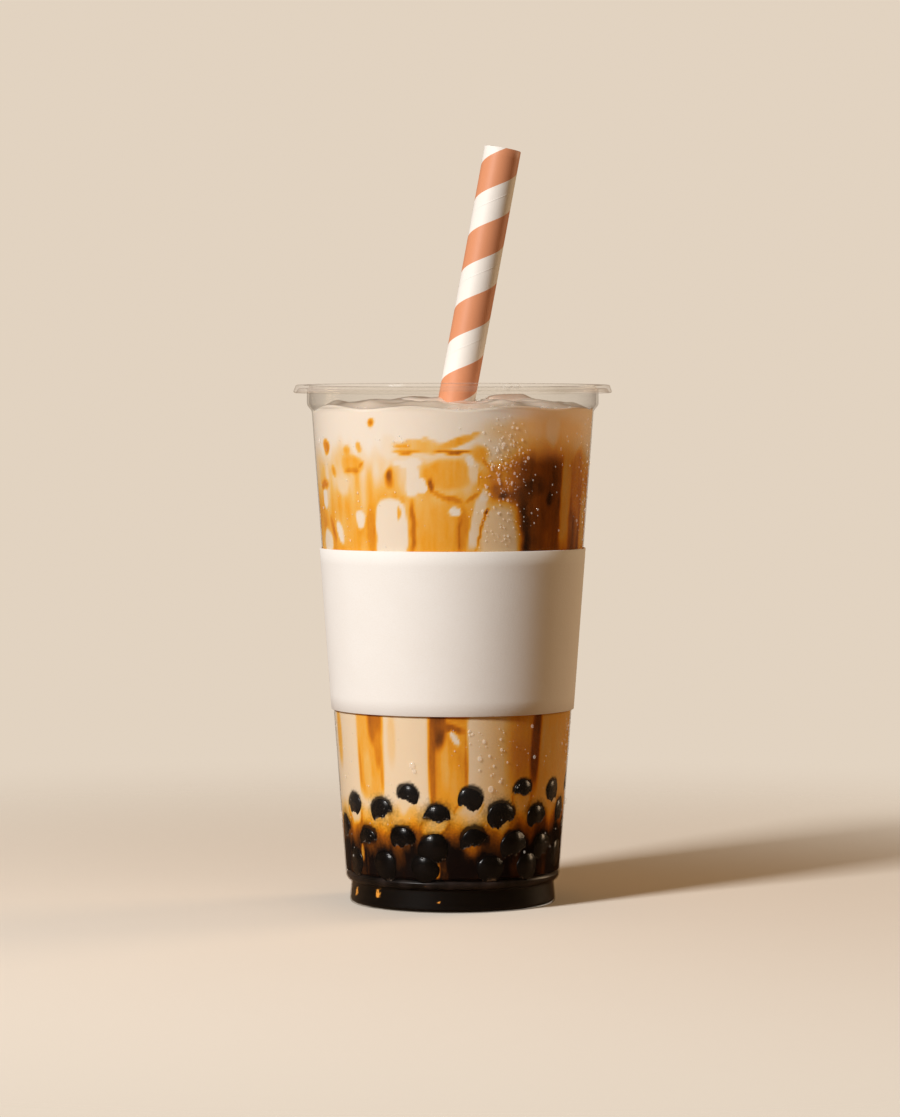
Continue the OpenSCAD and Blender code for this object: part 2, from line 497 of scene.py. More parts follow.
def ripples(bearing, height, seed, turns=(2, 9), waves_mm=(12, 60), count=14):
    """Sum of cosines of turns * bearing + height / wavelength, scaled to about -1 to 1."""
    rng = np.random.default_rng(seed)
    total = np.zeros(np.broadcast(bearing, height).shape)
    for _ in range(count):
        k = rng.integers(turns[0], turns[1] + 1) * rng.choice([-1, 1])
        wave = rng.uniform(*waves_mm) * rng.choice([-1, 1])
        total += np.cos(k * np.radians(bearing) + 2 * np.pi * height / wave + rng.uniform(0, 6.3))
    return total / math.sqrt(count / 2) / 1.6


# %% [markdown]
# ## Places of the pearls
# Tapioca pearls sink, lie in rough rows against the wall and get sparse on top. The tea needs
# their places before they exist, since it clouds round each pearl and has painted shade round it.
# The front ones are listed, and seeded rows fill the back, leaving out a pearl that would run into
# another.

# %% Places of the pearls
FRONT_PEARLS = [  # bearing, height, radius
    (-23, 34.5, 3.5), (9, 33.5, 4.0), (38, 35.5, 3.5), (61, 34.5, 3.7), (-60, 30.5, 3.6),
    (-39, 29.5, 4.2), (-8, 28.0, 4.3), (25, 28.5, 4.5), (48, 27.5, 4.0), (72, 28.0, 4.0),
    (-75, 23.0, 4.2), (-50, 20.5, 4.2), (-27, 21.5, 4.1), (-10, 19.0, 4.8), (11, 21.0, 4.7),
    (33, 19.5, 4.6), (54, 18.5, 4.3), (-62, 13.5, 4.2), (-38, 13.5, 4.4), (20, 13.0, 4.2),
    (-15, 13.0, 4.5), (72, 15.5, 4.2), (43, 13.0, 4.2),
]


def arc_between(bearing, where, level):
    """Millimetres round the wall from one bearing to another: the turn in radians times the radius."""
    return np.radians(turn_between(bearing, where)) * tea_radius(level)


rng = np.random.default_rng(5)
pearls_at = np.array(FRONT_PEARLS)
for row, row_z in enumerate((34.0, 28.2, 21.2, 14.0)):
    for bearing in np.arange(86 + 9 * (row % 2), 280, 26 if row == 0 else 17):
        jitter = rng.uniform(-1, 1, 3)
        new = np.array([bearing + 3 * jitter[0], row_z + 1.4 * jitter[1], 4.1 + 0.4 * jitter[2]])
        across = arc_between(pearls_at[:, 0], new[0], new[1])
        gaps = np.hypot(across, pearls_at[:, 1] - new[1]) - 0.9 * (pearls_at[:, 2] + new[2])
        if gaps.min() > 0:
            pearls_at = np.vstack([pearls_at, new])
print(len(pearls_at), "pearls, from", 2 * pearls_at[:, 2].min(), "to", 2 * pearls_at[:, 2].max(), "mm")

# %% [markdown]
# ## The tea's surface
# Ice lies just under the top and lifts it in low humps. Against the wall the tea ends in a wavy
# line. The height of the top is one function of bearing and distance from the axis, so the rings
# of the side simply carry on over it to a pole.

# %% Height of the top
HUMPS = [  # bearing round the cup, distance out, half width and rise, in degrees and millimetres
    (102, 18.0, 11.0, 1.4),
    (-100, 8.0, 9.0, 1.9),
    (-105, 24.0, 9.0, 0.9),
    (60, 28.0, 9.0, 0.6),
    (-35, 26.0, 9.0, 0.7),
    (20, 24.0, 7.0, 0.6),
]


def top_height(bearing, out):
    """Level, plus a dome for each hump, plus small ripples, easing to the wavy line at the wall."""
    x = out * np.sin(np.radians(bearing))
    y = -out * np.cos(np.radians(bearing))
    height = LEVEL + 2.6 + 0.5 * ripples(x * 3, y, 11, waves_mm=(16, 60)) + 0.12 * ripples(x * 6, y, 12)
    for where, away, half, rise in HUMPS:
        dx = x - away * np.sin(np.radians(where))
        dy = y + away * np.cos(np.radians(where))
        near = np.clip(1 - (dx * dx + dy * dy) / (half * half), 0, 1)
        height = height + rise * near * (2 - near) * 0.98
    edge = LEVEL + 0.9 + 0.8 * ripples(bearing, 0, 21, turns=(4, 11))
    share = smoothstep(0.84, 1.0, out / tea_radius(LEVEL))
    return height * (1 - share) + edge * share


# %% [markdown]
# ## Painting the syrup
# Syrup was swirled up the wall before the tea was poured in. It left a tiger pattern above,
# streaks below and a stain over the pearls. Its depth is one number at each point of the wall,
# and it is painted like a picture: a ground, then strokes on top of it. A stroke is an oval with
# its bearing, height, half width and half height in millimetres and its own depth. The softness of
# its edge and its lean in degrees follow where they aren't 0.7 and 0. Ripples bend every outline.

# %% Strokes of syrup
STROKES = [
    # plain patches and thin marks on the left
    (-49, 135, 1.5, 1.5, 0.42, 0.7, -20), (-42, 136, 1, 1.5, 0.38, 0.7, -15),
    (-46, 131, 4.5, 2.5, 0.42), (-47, 129, 3, 0.8, 0.6), (-41, 131, 1.5, 0.6, 0.56, 0.8, -30),
    (-59, 129, 1, 2, 0.5, 0.7, -30), (-65, 136, 2, 2.5, 0.56, 0.5, -20),
    (-70, 125, 3, 1.5, 0.6, 0.8), (-53, 125, 3, 3, 0.15, 0.8), (-70, 121, 2, 3, 0.02, 0.3, -5),
    (-43, 115, 2, 2.5, 0.03, 0.35, -5), (-70, 108, 3.5, 3.5, 0.06, 0.4, -10),
    (-63, 112, 1, 4, 0.6, 0.6, -20), (-57, 111, 1.5, 3.5, 0.02, 0.3, -20),
    (-27, 136, 2.5, 3.5, 0.05, 0.8), (-27, 127, 1.5, 3, 0.6, 1), (-27, 128, 0.8, 1.5, 0.78, 1.2),
    (-35, 143, 1, 1.3, 0.6, 1.2),
    # two long lines, and the branch that rises from them
    (-13, 136, 8, 1.8, 0.3, 0.6), (-21, 136.5, 2.5, 0.5, 0.5, 0.8),
    (-15, 138, 3.5, 0.5, 0.28, 0.9, -8), (-19, 134.5, 4, 0.5, 0.58, 0.8),
    (2, 137.5, 6, 1.4, 0.46, 0.6, -17), (0, 134.5, 6, 0.6, 0.72), (9, 140, 1, 0.6, 0.45, 0.8),
    (11, 134, 2.5, 2.5, 0.42, 0.9, -40), (15, 130.5, 0.6, 2.5, 0.6, 0.8, -35),
    # golden body under the lines, the cream that hangs in it and the brown line below it
    (-2, 128, 6.5, 4.5, 0.43, 0.4), (-4, 112, 7.5, 7.5, 0.44, 0.8),
    (-5, 122, 3.5, 0.9, 0.58, 0.9, 24), (9, 129, 2, 3.5, 0.13, 0.6), (7, 132, 1.3, 1.5, 0.03, 0.35),
    (11, 127, 0.4, 3, 0.5, 0.9), (0, 121, 2.7, 0.7, 0.62, 0.8, 25),
    (8, 121.5, 2.4, 0.7, 0.6, 0.8, -35), (-9, 125, 0.7, 2, 0.76, 0.8, 8),
    # cream patch shaped like a boot
    (-19, 131.5, 4.5, 1.3, 0.03, 0.3), (-17, 126.5, 2.3, 5, 0.03, 0.25),
    (-13, 125, 1.7, 2.3, 0.02, 0.2),
    # columns down to the sleeve
    (-37, 112, 1.5, 6, 0.56, 0.8), (-17, 113, 0.9, 7, 0.68), (-27, 110.5, 5, 10.5, 0.03, 0.14),
    (-23, 117, 0.5, 2, 0.45), (-21, 121, 1, 1.2, 0.42, 0.8, -30), (4, 112, 2, 6, 0.57),
    (3, 111, 0.4, 5.5, 0.72, 0.8), (1, 117.5, 2, 1.4, 0, 0.25, 22),
    (10, 114, 1.5, 7.5, 0.07, 0.4, 12), (13, 122, 1.2, 1.8, 0.02, 0.3),
    # clouded and dark on the right, with clouded ice seen through the tea
    (40, 140, 19, 4.5, 0.22, 0.9), (23, 126, 7, 5.5, 0.56, 0.8), (42, 126, 11, 9.5, 0.82, 1.1),
    (43, 112, 9, 9, 0.82, 0.9), (37, 125, 3.5, 2.5, 0.92, 1.2), (28, 120, 4, 4, 0.85, 1.1),
    (20, 110, 6.3, 9.5, 0.15, 0.6, -8), (33, 111, 1.3, 7, 0.9, 1, -8),
    (12, 112, 0.4, 6, 0.72, 0.8, 16), (14, 117.5, 0.5, 0.9, 0.95, 0.9, 35),
    (20, 123.5, 2.8, 2, 0.7, 0.9, -30), (22, 122, 1.6, 1.2, 0.9, 1, -30),
    (45, 121, 1.3, 1.8, 0.92, 0.8, 5), (45, 141, 2.5, 4.3, 0.04, 0.8), (56, 120, 2.4, 13.5, 0.36),
    (80, 114, 5, 8.5, 0.3), (65, 131.5, 2.3, 3.5, 0.62, 0.7, 5), (65, 123, 2.8, 6.5, 0.62),
]
STREAKS = [
    # three pale streaks on the left and their dark cores
    (-75, 51, 2.3, 8.5, 0.42, 0.8), (-45, 49, 5.5, 16, 0.42, 0.3), (-47, 41, 1.7, 6, 0.28, 0.8),
    (-41, 56, 2.8, 7, 0.74), (-39, 47.5, 1.5, 5.5, 0.62, 0.8), (-37, 40, 0.4, 5.5, 0.56, 0.8),
    (-53, 43, 0.6, 7, 0.56, 0.8), (-31, 51, 1.4, 7.5, 0.2, 0.8),
    # the broad one in front, with a cap over its paler tongue and a drop of cream
    (-2.5, 48, 5.7, 19, 0.48, 0.25), (-4, 44, 1.2, 7.5, 0.36, 0.8), (2, 58.5, 3.3, 2.6, 0.58, 0.8),
    (-7, 55.5, 2.4, 7, 0.86), (-10, 44, 1.1, 12, 0.7), (-1, 54.5, 4, 1.2, 0.8, 0.9, 15),
    (1, 51.5, 0.9, 2.4, 0.03, 0.4, -32), (6.5, 44, 0.4, 11, 0.6, 0.8),
    # shade and the thin dark one on the right
    (35, 47, 4, 14, 0.55, 1.4), (45, 49.5, 2, 13.5, 0.84, 0.8),
]
print(len(STROKES), "strokes above the sleeve and", len(STREAKS), "streaks below it")

# %% One stroke


def paint(depth, bearing, height, power, where, level, half_w, half_h, own, soft=0.7, lean=0):
    """Moves depth towards the stroke's own inside its oval, |u|^power + |v|^power < 1, softly."""
    across = arc_between(bearing, where, level)
    up = height - level
    c, s = math.cos(math.radians(lean)), math.sin(math.radians(lean))
    u = np.abs(across * c - up * s) / half_w
    v = np.abs(across * s + up * c) / half_h
    share = fall(1 - soft / 2, 1 + soft / 2, (u**power + v**power) ** (1 / power))
    return depth + (own - depth) * share


# %% Strokes at the back


def back_strokes(seed):
    """Seeded strokes of the same kinds for the side that the front strokes leave bare."""
    rng = np.random.default_rng(seed)
    upper, lower = [], []
    for where in np.arange(92, 266, 15):
        a, b, c, d, e = rng.uniform(0, 1, 5)
        upper += [
            (where, 110, 6.5, 9 + 4 * a, 0.42 + 0.2 * b, 0.6),
            (where + 4 * c, 136 - 3 * d, 3 + 4 * e, 0.5 + 0.8 * a, 0.45 + 0.2 * c, 0.7, 24 * b - 12),
            (where + 5 * b, 110 + 3 * c, 0.5 + 0.9 * d, 8 + 3 * e, 0.6 + 0.2 * a, 0.8, 6 * c - 3),
            (where + 9 + 4 * d, 108 + 3 * a, 1.8 + 2.6 * e, 7.5 + 5 * b, 0.04, 0.25, 8 * a - 4),
            (where + 12 * e, 125 + 8 * d, 1 + 1.6 * c, 1.6 + 2.2 * a, 0.05, 0.4, 50 * b - 25),
            (where + 12 * c, 124 + 9 * a, 0.7 + d, 1.2 + 2 * e, 0.7, 0.8, 50 * d - 25),
        ]
    for where in np.arange(94, 262, 17):
        a, b, c, d = rng.uniform(0, 1, 4)
        lower += [
            (where + 10 * a, 52, 1.5 + 3.5 * b, 10 + 9 * c, 0.45, 0.4),
            (where + 10 * a + 3, 54, 0.5 + 1.3 * b, 8 + 8 * d, 0.65 + 0.2 * d),
        ]
    return upper, lower


# %% Syrup all round


def syrup_depth(bearing, height):
    """How deep the syrup is on the wall, from 0 for plain tea to 1 for dark syrup; on the shaded right
    part of it is painted shade.
    """
    bent = bearing + 0.45 * ripples(bearing, height, 31, turns=(9, 30), waves_mm=(5, 20))
    straight = bearing + 0.35 * ripples(bearing, height, 36, turns=(3, 8), waves_mm=(30, 80))
    lifted = height + 0.35 * ripples(bearing, height, 32, turns=(9, 40), waves_mm=(5, 24))
    drips = ripples(bearing, height, 33, turns=(18, 60), waves_mm=(70, 200))
    slow = ripples(bearing, height, 35, turns=(4, 14), waves_mm=(14, 50))
    aside = turn_between(bearing, 0)
    # ground of the tiger pattern: pale at its ragged top and deeper down
    sunk = height + 1.6 * ripples(bearing, 0, 34, turns=(5, 18)) + 0.8 * drips
    ground = 0.22 * fall(130, 138, sunk) + 0.24 * fall(114, 130, sunk)
    ground = ground + (0.08 * slow + 0.06 * drips) * fall(128, 137, sunk)
    side_end = fall(95, 130, aside)
    right = smoothstep(12, 30, aside) * side_end
    ground = ground + 0.3 * right * fall(128, 138, sunk)
    # under the sleeve it changes to plain tea, deeper on the right, partly as caramel syrup and partly as
    # painted shade
    low = fall(62, 96, height)
    depth = ground * smoothstep(62, 96, height) + 0.10 * low
    shaded = smoothstep(18, 50, aside) * side_end
    near_right = smoothstep(6, 24, aside) * side_end
    depth = depth + (0.12 * near_right + 0.12 * shaded) * low
    more_upper, more_lower = back_strokes(8)
    for stroke in STROKES + more_upper:
        depth = paint(depth, bent, lifted, 5.0 if stroke[3] > 7 else 2.2, *stroke)
    for stroke in STREAKS + more_lower:
        depth = paint(depth, straight, height, 4.5 if stroke[2] > 4 else 2.4, *stroke)
    # the stain over the pearls, deeper towards the foot and higher on the shaded right, partly as painted
    # shade
    sunk = height + 1.8 * ripples(bearing, 0, 37, turns=(6, 24)) + 0.7 * drips + 0.5 * slow - 3.5 * shaded
    stain = 0.30 * fall(28, 36, sunk) + 0.34 * fall(22, 29, sunk)
    return np.maximum(depth, stain), sunk


# %% [markdown]
# ## Clouds and painted shade round the pearls
# A pearl shows dark where it touches the wall and hazy round that, where thin milk covers it. A
# wider ring of painted shade darkens the tea round each pearl, most in the upper rows. Cream runs off
# its lower side in a wedge, and a thread of syrup often lines the wedge's edges.

# %% Cloud, painted shade, wedge and edge


def pearl_haze_shade_and_wedge(bearing, height):
    """The dark haze over each pearl, a wider ring of painted shade round it, and the wedge of cream with
    amber edges that hangs below it.
    """
    rng = np.random.default_rng(43)
    dark, wedge, edge = (np.zeros(bearing.shape) for _ in range(3))
    for where, level, size in pearls_at:
        length, width, slant, amount, haze_up = rng.uniform(0, 1, 5)
        across = arc_between(bearing, where, level)
        up = height - level
        reach = np.hypot(across, up - 0.1 * size) / size
        haze = fall(0.88, 1.06 + 0.2 * haze_up, reach) * smoothstep(-0.6 * size, 0.2 * size, up)
        # painted shade: a wider dark ring round each pearl, strongest in the upper rows
        shade_halo_strength = 0.14 + 0.34 * fall(26, 34, level)
        painted_shade_halo = shade_halo_strength * fall(1.0, 1.9, np.hypot(across, up) / size)
        dark = np.maximum(dark, np.maximum(haze, painted_shade_halo))
        if level > 17:
            amount = np.clip(1.8 * amount - 0.35, 0, 1) * (0.2 + 0.8 * smoothstep(19, 27, level))
            t = np.clip(-(up + 0.3 * size) / ((0.8 + 1.3 * length) * size), 0, 1)
            middle = (slant - 0.5) * 1.4 * size * t
            half = (0.7 + 0.25 * width) * size * (1 - 0.7 * t**3)
            aside = np.abs(across - middle)
            below = smoothstep(0.1 * size, 0.4 * size, -up) * fall(0.55, 1.0, t)
            inside = fall(half - 1.4, half + 0.3, aside) * below
            wedge = np.maximum(wedge, inside * amount)
            edge = np.maximum(edge, np.exp(-(((aside - half - 0.3) / 0.45) ** 2)) * below * width)
    return dark, wedge, edge


# %% The tea's rings
TEA_COLUMNS = 400
TEA_LOW = 10
side_z = np.linspace(TEA_LOW, LEVEL, 188)
top_share = np.linspace(1, 0, 38)[1:-1]
bearings = np.degrees(np.linspace(-np.pi, np.pi, TEA_COLUMNS, endpoint=False))
edge_z = top_height(bearings, np.full(TEA_COLUMNS, tea_radius(LEVEL)))
lift = smoothstep(LEVEL - 12, LEVEL, side_z)[:, None]
tea_z = side_z[:, None] + (edge_z - LEVEL)[None, :] * lift
tea_r = tea_radius(tea_z)
out = top_share[:, None] * tea_radius(LEVEL) * np.ones(TEA_COLUMNS)
tea_z = np.vstack([tea_z, top_height(bearings[None, :], out)])
tea_r = np.vstack([tea_r, out])
tea_b = np.broadcast_to(bearings, tea_z.shape)
tea_rings = round_axis(tea_r, np.radians(tea_b), tea_z)
on_top = np.arange(len(tea_z))[:, None] >= len(side_z)
print(tea_rings.shape[0], "rings, of which", len(side_z), "on the side")

# %% The tea and its fields
depth, sunk = syrup_depth(tea_b, tea_z)
swirl_b = tea_b + 0.9 * ripples(tea_b, tea_z, 38, turns=(10, 36), waves_mm=(5, 18))
cloud, wedge, edge = pearl_haze_shade_and_wedge(swirl_b, tea_z)
low = fall(34, 44, tea_z)
cloud = cloud * (1 - 0.8 * wedge)
depth = depth + 0.26 * edge * low
depth = depth + (0.12 - depth) * 0.85 * wedge * low
depth = depth + (1.0 - depth) * fall(17.0, 25.5, sunk + 4.0 * wedge)
depth = paint(depth, tea_b, tea_z, 2, -8, 12.6, 0.6, 2.6, 0.45, 0.6)
depth = paint(depth, tea_b, tea_z, 2, -55, 16.5, 0.6, 2.6, 0.4, 0.8)
depth = np.where(on_top, 0.04, depth)
# the top is glossy, and its paler colour is partly painted light, since the lamps light the flat top less
# than the side
wet = np.where(on_top, 1.0, 0.0) * np.ones(TEA_COLUMNS)
# painted light: a glow on the upper shaded side stands for light that travels through the milk from the
# bright side
carried = smoothstep(14, 36, tea_b) * fall(80, 110, tea_b) * smoothstep(130, 141, tea_z)
tea_fields = {
    "syrup": with_poles(depth, 1, 0.03),
    "cloud": with_poles(cloud, 0, 0),
    "wet": with_poles(wet, 0, 1),
    "carried": with_poles(np.where(on_top, 0, carried), 0, 0),
}
middle_z = top_height(np.zeros(1), np.zeros(1))[0]
tea = add_rings("milk_tea", tea_rings, (TEA_LOW, middle_z), fields=tea_fields)

# %% [markdown]
# ## Milk tea finish
# Milk scatters light under its surface, so it takes a little subsurface. Thin syrup is straw yellow,
# then amber, then a red brown that goes to black. A ramp turns the painted depth into those colours.
# Noise stretched along the cup's height breaks up the ramp as runs of syrup do. Painted shade round
# the pearls darkens the tea near them, and the top's paler colour is partly painted light. Light that
# enters on the bright side travels far through the pale top of the drink, and a faint warm glow
# painted on the upper shaded side stands for it.

# %% Milk tea finish
milk = Finish("milk_tea")
runs = milk.noise(1.6, 3.0, stretch=(1, 1, 0.16))
specks = milk.noise(0.7, 3.0)
swirl = milk.noise(5.0, 4.0, stretch=(1, 1, 0.35))
syrup_here = milk.field("syrup")
streaky = (runs - 0.5) * 0.13 + (swirl - 0.5) * 0.36 + (specks - 0.5) * 0.05
thick = syrup_here + streaky * syrup_here.rise(0.08, 0.4)
colour = milk.node("ShaderNodeValToRGB", {"stops": [
    (0.00, (0.87, 0.775, 0.66)),
    (0.12, (0.86, 0.67, 0.44)),
    (0.30, (0.87, 0.50, 0.12)),
    (0.46, (0.87, 0.38, 0.025)),
    (0.62, (0.68, 0.22, 0.008)),
    (0.78, (0.34, 0.095, 0.008)),
    (0.92, (0.11, 0.034, 0.006)),
    (1.00, (0.008, 0.004, 0.003)),
]}, {"Fac": thick})
# the pearls' milky haze and the painted shade round them take the tea towards near black
haze_and_shade_share = (milk.field("cloud") * 1.5 + (specks - 0.5) * 0.9 - 0.25).clamp() * 0.95
hazed_and_shaded = milk.mix(haze_and_shade_share, colour, (0.008, 0.006, 0.005))
# painted light: the top takes a paler tea colour than the side
tone_with_lit_top = milk.mix(milk.field("wet"), hazed_and_shaded, (0.92, 0.80, 0.68))
milk.cover(tea, ["drink"], {
    "Base Color": tone_with_lit_top,
    "Roughness": 0.7,
    "Specular IOR Level": 0.0,
    "Emission Color": milk.mix(milk.field("carried"), (0, 0, 0), (0.17, 0.072, 0.022)),
    "Emission Strength": 1.0,
    "Coat Weight": milk.field("wet"),
    "Coat Roughness": 0.12,
    "Subsurface Weight": 0.15,
    "Subsurface Radius": (1.0, 0.7, 0.45),
    "Subsurface Scale": 0.002,
    "Normal": milk.bump(specks, 0.05, 0.3),
})

# %% [markdown]
# ## Pearls
# A boiled pearl is a soft ball that flattens where it rests on the wall. Each one is a slightly
# uneven sphere, and its points that would pass the wall are drawn back to it. All are made at once:
# an array of pearls by a grid of sphere points. Milk clings to the lower rim of many of them. The
# flattened face still shades like a ball, since the pearl is clear at its skin: a dome height in the
# bump says so.

# %% Pearls


def balls(count, rows, columns):
    """One unit sphere's points, its two poles last, and the quads and triangles of count of them."""
    polar = np.linspace(np.pi, 0, rows + 2)[1:-1, None]
    around = np.linspace(0, 2 * np.pi, columns, endpoint=False)[None, :]
    ring = np.stack([
        np.sin(polar) * np.cos(around),
        np.sin(polar) * np.sin(around),
        np.cos(polar) * np.ones_like(around),
    ], -1).reshape(-1, 3)
    unit = np.vstack([ring, [0, 0, -1], [0, 0, 1]])
    quads = ring_faces(rows, columns)
    fans = np.vstack([
        fan_faces(np.arange(columns), len(ring), upper=False),
        fan_faces(np.arange(columns) + (rows - 1) * columns, len(ring) + 1, upper=True),
    ])
    shift = (np.arange(count) * len(unit))[:, None, None]
    return unit, ((quads + shift).reshape(-1, 4), (fans + shift).reshape(-1, 3))


# %% Uneven pearls set in their places
pearl_unit, pearl_faces = balls(len(pearls_at), 24, 36)
rng = np.random.default_rng(17)
one_each = (len(pearls_at), 1)
uneven = np.ones((len(pearls_at), len(pearl_unit)))
for _ in range(5):
    way = rng.normal(size=(len(pearls_at), 3))
    way = way / np.linalg.norm(way, axis=1, keepdims=True)
    uneven += 0.032 * np.cos(3.4 * way @ pearl_unit.T + rng.uniform(0, 6.3, one_each))
pearl_z = pearls_at[:, 1]
pearl_size = pearls_at[:, 2:]
outward, across = wall_axes(pearls_at[:, 0])
centre_r = tea_radius(pearl_z) - 0.32 * pearls_at[:, 2]
centres = outward * centre_r[:, None]
centres[:, 2] = pearl_z
pearl_points = centres[:, None] + pearl_size[..., None] * uneven[..., None] * pearl_unit[None]

# %% Milk on the lower rims
to_side = ((pearl_points - centres[:, None]) * across[:, None]).sum(-1) / pearl_size
to_top = (pearl_points[..., 2] - pearl_z[:, None]) / pearl_size
slant = rng.uniform(-0.4, 0.4, one_each)
amount = rng.uniform(-0.45, 0.15, one_each) - 0.6 * (pearl_z[:, None] < 18)
jagged = 0.10 * np.cos(rng.uniform(4, 8, one_each) * to_side + rng.uniform(0, 6.3, one_each))
jagged = jagged + 0.05 * np.cos(17 * to_side + 11 * to_top + rng.uniform(0, 6.3, one_each))
clinging = -to_top - 0.4 + slant * to_side + 0.2 * to_side**2 + amount + jagged
dome = np.sqrt(np.clip(1 - to_side**2 - to_top**2, 0, 1)) * pearl_size

# %% Flattened against the wall
MILK_DEEP = 1.6  # how far behind the wall the milky rim lies
pearl_out = np.hypot(pearl_points[..., 0], pearl_points[..., 1])
limit = tea_radius(pearl_points[..., 2]) + 0.05 - MILK_DEEP * smoothstep(-0.05, 0.3, clinging)
pearl_points[..., :2] *= np.minimum(1, limit / pearl_out)[..., None]
pearl_fields = {"milk": clinging, "dome": dome}
pearls = add_mesh("tapioca_pearls", pearl_points, *pearl_faces, fields=pearl_fields)

# %% Pearl finish
tapioca = Finish("tapioca")
lumps = tapioca.noise(1.8, 3.0)
fine = tapioca.noise(0.45, 3.0)
milky = tapioca.field("milk") + (lumps - 0.5) * 0.5 + (fine - 0.5) * 0.4
haze = (tapioca.noise(3.0, 2.0) - 0.42).clamp() * 0.4
black = tapioca.mix(haze, (0.002, 0.0015, 0.0015), (0.03, 0.025, 0.023))
shade = tapioca.mix(milky.rise(-0.15, 0.2), black, (0.46, 0.40, 0.35))
tapioca.cover(pearls, ["pearls"], {
    "Base Color": shade,
    "Roughness": 0.24,
    "Specular IOR Level": 0.2,
    "Normal": tapioca.bump(tapioca.field("dome") * 0.7 + lumps * 0.12, 1.0, 0.7),
})

# %% [markdown]
# ## Core of the heap
# Behind the pearls at the wall the heap goes on, out of sight. A smaller core stands for it, so
# that the pearls there need not be made one by one.

# %% Core of the heap
CORE_INSET = 8.6
CORE_LOW, CORE_TOP = 12, 32
core_z = np.linspace(CORE_LOW, CORE_TOP, 12)
core_b = np.linspace(-180, 180, 96, endpoint=False)
core_r = tea_radius(core_z)[:, None] - CORE_INSET + 0.5 * ripples(core_b[None, :], core_z[:, None], 41)
core_top = np.linspace(1, 0, 9)[1:-1, None] * core_r[-1][None, :]
bumps = CORE_TOP + 1.2 * ripples(core_b[None, :], core_top, 42, turns=(3, 12), waves_mm=(8, 14))
core_rows_r = np.vstack([core_r, core_top])
core_rows_z = np.vstack([np.broadcast_to(core_z[:, None], core_r.shape), bumps])
core_rings = round_axis(core_rows_r, np.radians(core_b), core_rows_z)
core = add_rings("pearl_core", core_rings, (CORE_LOW, CORE_TOP))
dress(core, tapioca.material)

# %% [markdown]
# ## Syrup in the foot
# Plain syrup fills the foot. It is nearly black where the layer is thick. A few small amber glints of
# light shining through thin syrup are painted on it, and so is a faint grey reflection above the
# foot. Its outline is the cup's inside, moved a little into the wall.

# %% Syrup
SYRUP_LOW, SYRUP_TOP = 1.4, 11.0
# painted glints: small amber spots of light on the dark syrup
PAINTED_GLINTS = [  # bearing, height, half width in degrees, half height in millimetres, amount
    (-70, 3.9, 2.6, 1.8, 1), (-47, 4.6, 2.8, 1.9, 1), (-8, 3.2, 1.2, 0.5, 1), (120, 4, 2, 1.3, 1),
]
edge_steps = 10  # points of the foot's edge arc, after which the flared side is put in
fill = cup_side(0.3, 0.35)
fill_z = np.linspace(1.5, FOOT_H, 12)
flare = np.stack([FOOT_R - 0.3 - FOOT_FLARE * (fill_z - 1.3) / 5.0, fill_z], -1)
fill = np.vstack([fill[:edge_steps], flare, fill[edge_steps:]])
fill = fill[fill[:, 1] <= SYRUP_TOP]
fill = np.vstack([[[12, SYRUP_LOW], [27.5, SYRUP_LOW]], fill, [[28, SYRUP_TOP], [14, SYRUP_TOP]]])
syrup_rings = turned(fill, CUP_COLUMNS)
syrup_fields = {"glow": with_poles(blots(syrup_rings, PAINTED_GLINTS, solid=0.2), 0, 0)}
syrup = add_rings("brown_sugar_syrup", syrup_rings, (SYRUP_LOW, SYRUP_TOP), fields=syrup_fields)

# %% Syrup finish
sugar = Finish("brown_sugar_syrup")
# painted glints: amber light where the glow field and noise are high
warm = (sugar.field("glow") + (sugar.noise(0.7, 3.0) - 0.5) * 1.8 - 0.25).rise(0.1, 0.6)
# painted reflection: a faint grey sheen on the syrup above the foot
band = sugar.axis("Z").rise(6.4 * MM, 7.4 * MM)
painted_reflection = band * sugar.noise(6.0, 2.0, stretch=(1, 1, 0.4)).rise(0.3, 0.8)
deep = sugar.mix(painted_reflection, (0.003, 0.002, 0.0015), (0.045, 0.032, 0.028))
sugar.cover(syrup, ["syrup"], {
    "Base Color": sugar.mix(warm, deep, (0.95, 0.40, 0.06)),
    "Roughness": 0.3,
    "Specular IOR Level": 0.2,
})

# %% [markdown]
# ## Paper sleeve
# A sleeve is one curved strip, wrapped round and glued to itself at the back. Its section is a thin
# rectangle. Carried once round and a little further, with the last stretch lifted by one thickness,
# it makes the real overlap. The strip's two ends are closed flat.

# %% Paper sleeve
PAPER_T = 0.55
PAPER_EDGE = 0.12
LAP_DEG = 19.0
SLEEVE_LOW, SLEEVE_TOP = sleeve_low.z / MM, sleeve_high.z / MM
lap_end = 540 - LAP_DEG / 2
strip_turn = np.linspace(180 - LAP_DEG / 2, 540 + LAP_DEG / 2, 300)
lifted_by = 0.12 + (PAPER_T + 0.04) * smoothstep(lap_end - 7, lap_end, strip_turn)
outer_z = np.concatenate([
    [SLEEVE_LOW, SLEEVE_LOW + PAPER_EDGE],
    np.linspace(SLEEVE_LOW, SLEEVE_TOP, 12)[1:-1],
    [SLEEVE_TOP - PAPER_EDGE, SLEEVE_TOP],
])
section_z = np.concatenate([outer_z, outer_z[::-1]])
round_off = np.where((outer_z == SLEEVE_LOW) | (outer_z == SLEEVE_TOP), PAPER_EDGE, 0.0)
section_out = np.concatenate([PAPER_T - round_off, round_off[::-1]])
strip_r = wall_radius(section_z)[None, :] + section_out[None, :] + lifted_by[:, None]
strip = round_axis(strip_r, np.radians(strip_turn)[:, None], section_z)
rows, columns = strip.shape[:2]
pairs = np.arange(columns // 2 - 1)
first_end = np.stack([pairs, pairs + 1, columns - 2 - pairs, columns - 1 - pairs], -1)
